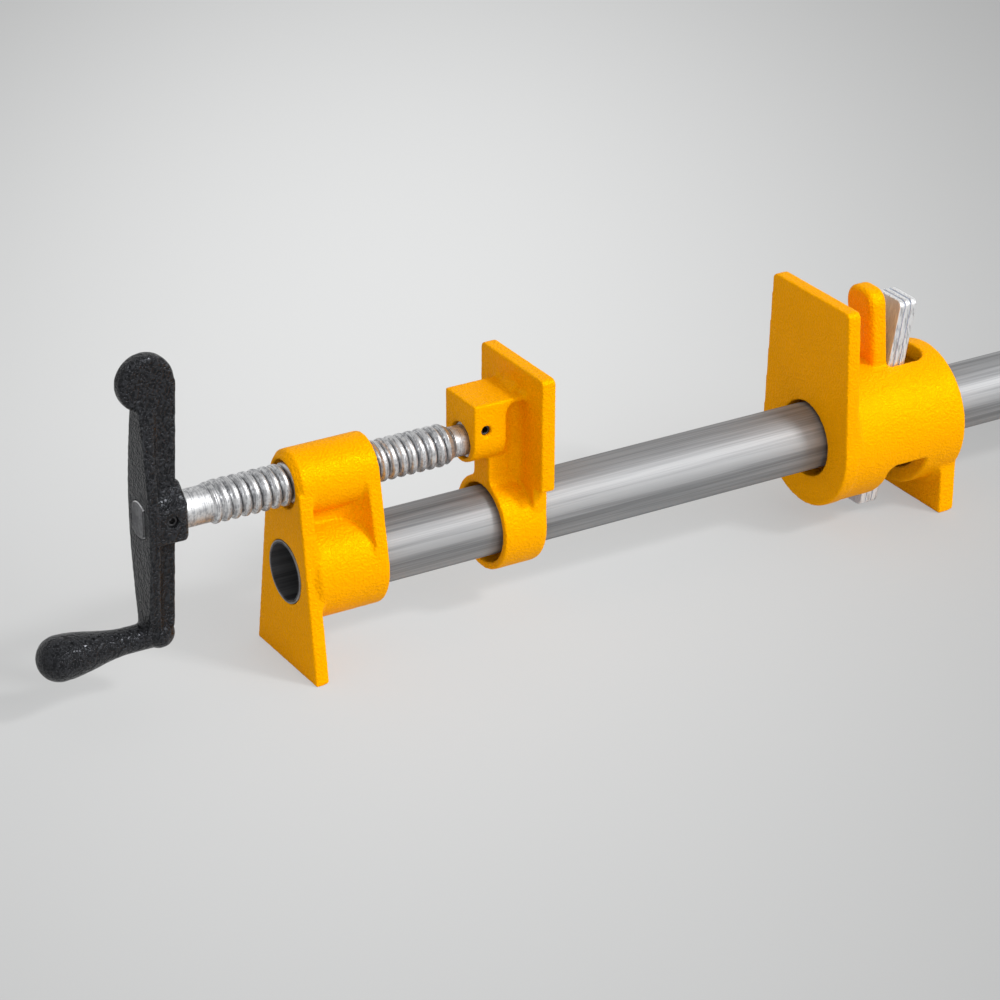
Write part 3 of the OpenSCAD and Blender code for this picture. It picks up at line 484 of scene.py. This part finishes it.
def thread_tree():
    """Geometry Nodes tree that rolls a round-crested thread round a bar along X."""
    tree, sockets, given = new_maker(
        "rolled_thread", ("Start", "Length", "Pitch", "Crest radius", "Root radius", "Run-out",
                          "Seam depth", "Axis height"), ("Sides", "Rings"))
    value = sums(tree)
    blank = tree.nodes.new("GeometryNodeMeshCylinder")
    blank.fill_type = "TRIANGLE_FAN"
    blank = feed(tree, blank, {"Radius": 1, "Depth": 1, "Vertices": given["Sides"],
                               "Side Segments": given["Rings"]})
    across, over, along = point_parts(tree)
    run = value("MULTIPLY", value("ADD", along, 0.5), given["Length"])
    station = value("ADD", run, given["Start"])
    turn = value("DIVIDE", value("ARCTAN2", over, across), 2 * math.pi)
    phase = value("FRACT", value("SUBTRACT", value("DIVIDE", station, given["Pitch"]), turn))
    # distance from the crest's middle, as a share of the pitch
    off = value("ABSOLUTE", value("SUBTRACT", phase, 0.5))
    # a round crest that falls ever more steeply into a narrow groove
    groove = value("POWER", value("MULTIPLY", off, 2), groove_steepness)
    left = value("DIVIDE", run, given["Run-out"], clamp=True)
    rest = value("SUBTRACT", given["Length"], run)
    right_end = value("DIVIDE", rest, value("MULTIPLY", given["Run-out"], jaw_run_out), clamp=True)
    depth = value("SUBTRACT", given["Crest radius"], given["Root radius"])
    # towards the crank the thread is only half formed, and its crest sinks to the bare stock
    rise = value("MULTIPLY", left, first_crest_rise, clamp=True)
    sunk = value("MULTIPLY", value("SUBTRACT", 1, rise), value("MULTIPLY", depth, first_crest_sink))
    formed = value("MULTIPLY_ADD", left, 1 - first_cut, first_cut)
    cut = value("MULTIPLY", groove, value("MULTIPLY", depth, formed))
    # the fine seam that the rolling dies leave along the crest
    near_seam = value("SUBTRACT", 1, value("DIVIDE", off, seam_half_width), clamp=True)
    seam = value("MULTIPLY", near_seam, given["Seam depth"])
    ending = value("MULTIPLY", value("SUBTRACT", 1, right_end), depth)
    fall = value("MAXIMUM", value("ADD", value("ADD", sunk, seam), cut), ending)
    radius = value("SUBTRACT", given["Crest radius"], fall)
    radius = value("MAXIMUM", radius, given["Root radius"])
    rolled = set_points(
        tree, blank["Mesh"], station, value("MULTIPLY", across, radius),
        value("ADD", value("MULTIPLY", over, radius), given["Axis height"]))
    both = tree.nodes.new("GeometryNodeJoinGeometry")
    tree.links.new(rolled, both.inputs["Geometry"])
    tree.links.new(given["Geometry"], both.inputs["Geometry"])
    hand_out(tree, both.outputs["Geometry"], given["Finish"])
    return tree, sockets


def grown(piece, tree, sockets, sizes):
    """Runs a Geometry Nodes tree on the piece and keeps the plain mesh it gives."""
    maker = piece.modifiers.new(tree.name, "NODES")
    maker.node_group = tree
    for label, size in sizes.items():
        maker[sockets[label]] = size
    keep_shape(piece)


zinc_plate, zinc_tree, zinc_shader, zinc_coords = new_finish("zinc_plate")
zinc_sum = sums(zinc_tree)
zinc_blotch = noise(zinc_tree, zinc_coords, blotch_scale, blotch_detail, blotch_roughness)
# fine lines that the rolling dies leave round the bar
zinc_lines = drawn_out(zinc_tree, zinc_coords, rolling_line_scales, rolling_line_detail)
zinc_marks = zinc_sum("ADD", zinc_sum("MULTIPLY", zinc_blotch, blotch_share),
                      zinc_sum("MULTIPLY", zinc_lines, rolling_line_share))
zinc_clean = ramp(zinc_tree, zinc_marks, (zinc_dull_to, zinc_dull), (zinc_bright_from, zinc_bright))
# distance from the spindle's axis: painted shade darkens the groove
zinc_x, zinc_y, zinc_z = parts_of(zinc_tree, zinc_coords)
zinc_side = zinc_sum("POWER", zinc_y, 2)
zinc_rise = zinc_sum("POWER", zinc_sum("SUBTRACT", zinc_z, spindle_height), 2)
zinc_reach = zinc_sum("SQRT", zinc_sum("ADD", zinc_side, zinc_rise))
zinc_low = span(zinc_tree, zinc_reach, (groove_shade_from, groove_shade_full), smooth=True)
# only along the thread; painted shade also darkens the sheared end in the crank
zinc_here = zinc_sum("MULTIPLY", zinc_sum("GREATER_THAN", zinc_x, groove_shade_start),
                     zinc_sum("LESS_THAN", zinc_x, groove_shade_end))
zinc_end = zinc_sum("LESS_THAN", zinc_x, end_shade_to)
# painted shade on the groove and on the sheared end
zinc_painted_shade = zinc_sum(
    "MAXIMUM", zinc_sum("MULTIPLY", zinc_sum("MULTIPLY", zinc_low, zinc_here), groove_shade_share),
    zinc_sum("MULTIPLY", zinc_end, end_shade_share))
feed(zinc_tree, zinc_shader, {
    "Base Color": blend(zinc_tree, zinc_painted_shade, zinc_clean, zinc_groove_shade), "Metallic": 1,
    "Roughness": zinc_sum(
        "ADD", zinc_sum("MULTIPLY_ADD", zinc_marks, -bright_smoothness, zinc_roughness),
        zinc_sum("MULTIPLY", zinc_painted_shade, shade_roughness_gain))})
dent(zinc_tree, zinc_shader, zinc_marks, zinc_strength, zinc_depth)

spindle = turned_bar("spindle_bar", [
    (shank_face, sheared_radius), (shank_face + shear_bevel, shank_radius),
    (tenon_end, shank_radius), (tenon_end + tenon_step, shank_radius),
    (shank_to, shank_under), (core_from, core_radius),
    (core_to, core_radius), (neck_from, neck_radius),
    (end_face, neck_radius), (end_face, end_radius),
    (groove_from, end_radius), (groove_from, groove_radius),
    (groove_to, groove_radius), (groove_to, end_radius),
    (jaw_end - jaw_bevel, end_radius), (jaw_end, end_radius - jaw_bevel),
], spindle_height, spindle_sides)
# the two flats are milled as far as the tenon goes
for corner in spindle.data.vertices:
    if corner.co.x < tenon_end + tenon_step / 2:
        corner.co.y = max(-tenon_half, min(tenon_half, corner.co.y))
rolled_thread, thread_sockets = thread_tree()
grown(spindle, rolled_thread, thread_sockets, {
    "Start": thread_start, "Length": thread_end - thread_start, "Pitch": thread_pitch,
    "Crest radius": thread_crest, "Root radius": thread_root, "Run-out": thread_run_out,
    "Seam depth": thread_seam, "Axis height": spindle_height, "Sides": thread_sides,
    "Rings": thread_rings, "Finish": zinc_plate})
spindle.data.shade_smooth()
spindle.data.set_sharp_from_angle(angle=spindle_crease)
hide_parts("spindle")
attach(spindle, "screw")

# ---- Crank ----
# One malleable iron casting with a paddle knob, a T-section arm, a square boss and a round
# grip, powder-coated black over a coarse cast skin: the edges are worn grey and carry a painted
# highlight, and the hollows carry painted shade.
black_coat_colour = (0.0095, 0.0098, 0.011)
# the edge colour is wear and a painted highlight, the hollow colour painted shade
black_edge_wear_and_sheen = (0.050, 0.051, 0.054)
black_hollow_shade = (0.004, 0.004, 0.005)
black_shine = (0.75, 0.78, 0.85)
crank_voxel, crank_rounding = 0.00038, 14
black_coat = pebbled_coat(
    "black_coat", black_coat_colour, black_edge_wear_and_sheen, black_hollow_shade, black_shine,
    mirror=0.25, pebble=0.0010, depth=0.00036, gloss=0.20, metal=0, pebble_sheen=1.2)
crank = cast_copy("crank", "crank_casting", crank_voxel, crank_rounding)
crank.data.materials.append(black_coat)

# ---- Cross pins ----
# Short rolled steel pins: one locks the crank on the spindle, the other lies in the groove
# of the spindle's end and holds it in the sliding jaw.
pin_edge_width = 0.0003
pin_film_scale, pin_roughness = 900, 0.42
pin_dark, pin_light = (0.03, 0.03, 0.032), (0.14, 0.14, 0.145)


def blotched_steel(name, scale, dark, light, roughness):
    """Bare steel whose film of oil varies in tone, with blotches of the given scale."""
    finish, tree, shader, coords = new_finish(name)
    film = ramp(tree, noise(tree, coords, scale), (0, dark), (1, light))
    feed(tree, shader, {"Base Color": film, "Metallic": 1, "Roughness": roughness})
    return finish


pin_steel = blotched_steel("pin_steel", pin_film_scale, pin_dark, pin_light, pin_roughness)
for pin_node in ("crank_pin", "jaw_pin"):
    pin = merged_copy(pin_node, pin_node + "_steel", pin_edge_width)
    pin.data.materials.append(pin_steel)

# ---- Sliding jaw ----
# Cast like the head: a socket block for the spindle's end, the jaw plate and the ring that
# slides along the pipe, under the same yellow coat.
jaw_voxel, jaw_rounding = 0.00046, 15
jaw = cast_copy("sliding_jaw", "jaw_casting", jaw_voxel, jaw_rounding)
jaw.data.materials.append(yellow_coat)

# ---- Tail stop ----
# The largest casting: jaw plate, round body with its cut-away and top slot, thumb tab and
# foot, under the same yellow coat.
tail_voxel, tail_rounding = 0.00060, 8
tail = cast_copy("tail_casting", "tail_stop", tail_voxel, tail_rounding)
tail.data.materials.append(yellow_coat)

# ---- Clutch plates ----
# Three punched plates of hard steel, bright plated, with the rolled-over edge of the punch
# and faint upright rolling marks on their faces.
plate_edge_bright, plate_edge_grey = (0.95, 0.955, 0.96), (0.55, 0.555, 0.565)
# the faces are tinted blue, painted against the yellow light they mirror from the casting, so that
# they render grey
plate_face_light, plate_face_dark = (0.62, 0.68, 0.78), (0.46, 0.51, 0.60)
plate_edge_width, plate_facing = 0.00045, (0.75, 0.93)
plate_mark_scales, plate_mark_detail = (1500, 1500, 260), 3
plate_mark_strength, plate_mark_depth = 0.5, 0.00010
torn_metal, flat_metal_loss = 0.9, 0.4
torn_roughness, flat_roughness_gain = 0.34, 0.22
clutch_zinc, clutch_tree, clutch_shader, clutch_coords = new_finish("clutch_zinc")
clutch_sum = sums(clutch_tree)
clutch_marks = drawn_out(clutch_tree, clutch_coords, plate_mark_scales, plate_mark_detail)
# the broad faces are rolled flat and dull, the punched edges torn and bright
clutch_way = clutch_tree.nodes.new("ShaderNodeTexCoord").outputs["Normal"]
clutch_turn = clutch_sum("ABSOLUTE", parts_of(clutch_tree, clutch_way)[0])
clutch_face = span(clutch_tree, clutch_turn, plate_facing)
clutch_torn = ramp(clutch_tree, clutch_marks, (0.36, plate_edge_grey), (0.50, plate_edge_bright))
# the faces' blue tint, painted against the reflected yellow
clutch_flat = ramp(clutch_tree, clutch_marks, (0.3, plate_face_dark), (0.7, plate_face_light))
feed(clutch_tree, clutch_shader, {
    "Base Color": blend(clutch_tree, clutch_face, clutch_torn, clutch_flat),
    "Metallic": clutch_sum("SUBTRACT", torn_metal,
                           clutch_sum("MULTIPLY", clutch_face, flat_metal_loss)),
    "Roughness": clutch_sum("ADD", torn_roughness,
                            clutch_sum("MULTIPLY", clutch_face, flat_roughness_gain))})
dent(clutch_tree, clutch_shader, clutch_marks, plate_mark_strength, plate_mark_depth)
for plate_node in ("clutch_plate_1", "clutch_plate_2", "clutch_plate_3"):
    plate = merged_copy(plate_node, plate_node + "_steel", plate_edge_width)
    plate.data.materials.append(clutch_zinc)

# ---- Clutch spring ----
# A short coil of dark spring wire round the pipe, inside the tail stop, that leans the
# plates back until they bite.
spring_start, spring_length, spring_turns = 0.27055, 0.00995, 3.0
spring_radius, spring_wire = 0.0165, 0.0008
spring_steps, spring_wire_sides = 72, 14
spring_film_scale, spring_roughness = 500, 0.38
spring_dark, spring_light = (0.09, 0.09, 0.10), (0.30, 0.30, 0.31)
spring_steel = blotched_steel("spring_steel", spring_film_scale, spring_dark, spring_light,
                              spring_roughness)


def coil_tree():
    """Geometry Nodes tree that winds a wire round an X axis, with closed ends."""
    tree, sockets, given = new_maker(
        "wound_spring", ("Start", "Length", "Turns", "Coil radius", "Wire radius",
                         "Axis height"), ("Steps a turn", "Wire sides"))
    value = sums(tree)
    winding = feed(tree, tree.nodes.new("GeometryNodeCurveSpiral"), {
        "Resolution": given["Steps a turn"], "Rotations": given["Turns"],
        "Start Radius": given["Coil radius"], "End Radius": given["Coil radius"], "Height": 1})
    across, over, along = point_parts(tree)
    path = set_points(
        tree, winding["Curve"], value("MULTIPLY_ADD", along, given["Length"], given["Start"]),
        across, value("ADD", over, given["Axis height"]))
    section = feed(tree, tree.nodes.new("GeometryNodeCurvePrimitiveCircle"),
                   {"Resolution": given["Wire sides"], "Radius": given["Wire radius"]})
    drawn = feed(tree, tree.nodes.new("GeometryNodeCurveToMesh"),
                 {"Curve": path, "Profile Curve": section["Curve"], "Fill Caps": True})
    smooth = feed(tree, tree.nodes.new("GeometryNodeSetShadeSmooth"), {"Geometry": drawn["Mesh"]})
    hand_out(tree, smooth["Geometry"], given["Finish"])
    return tree, sockets


spring = bpy.data.objects.new("clutch_coil", bpy.data.meshes.new("clutch_coil"))
scene.collection.objects.link(spring)
wound_spring, spring_sockets = coil_tree()
grown(spring, wound_spring, spring_sockets, {
    "Start": spring_start, "Length": spring_length, "Turns": spring_turns,
    "Coil radius": spring_radius, "Wire radius": spring_wire, "Axis height": pipe_height,
    "Steps a turn": spring_steps, "Wire sides": spring_wire_sides, "Finish": spring_steel})
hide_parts("clutch_spring")
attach(spring, "tail")
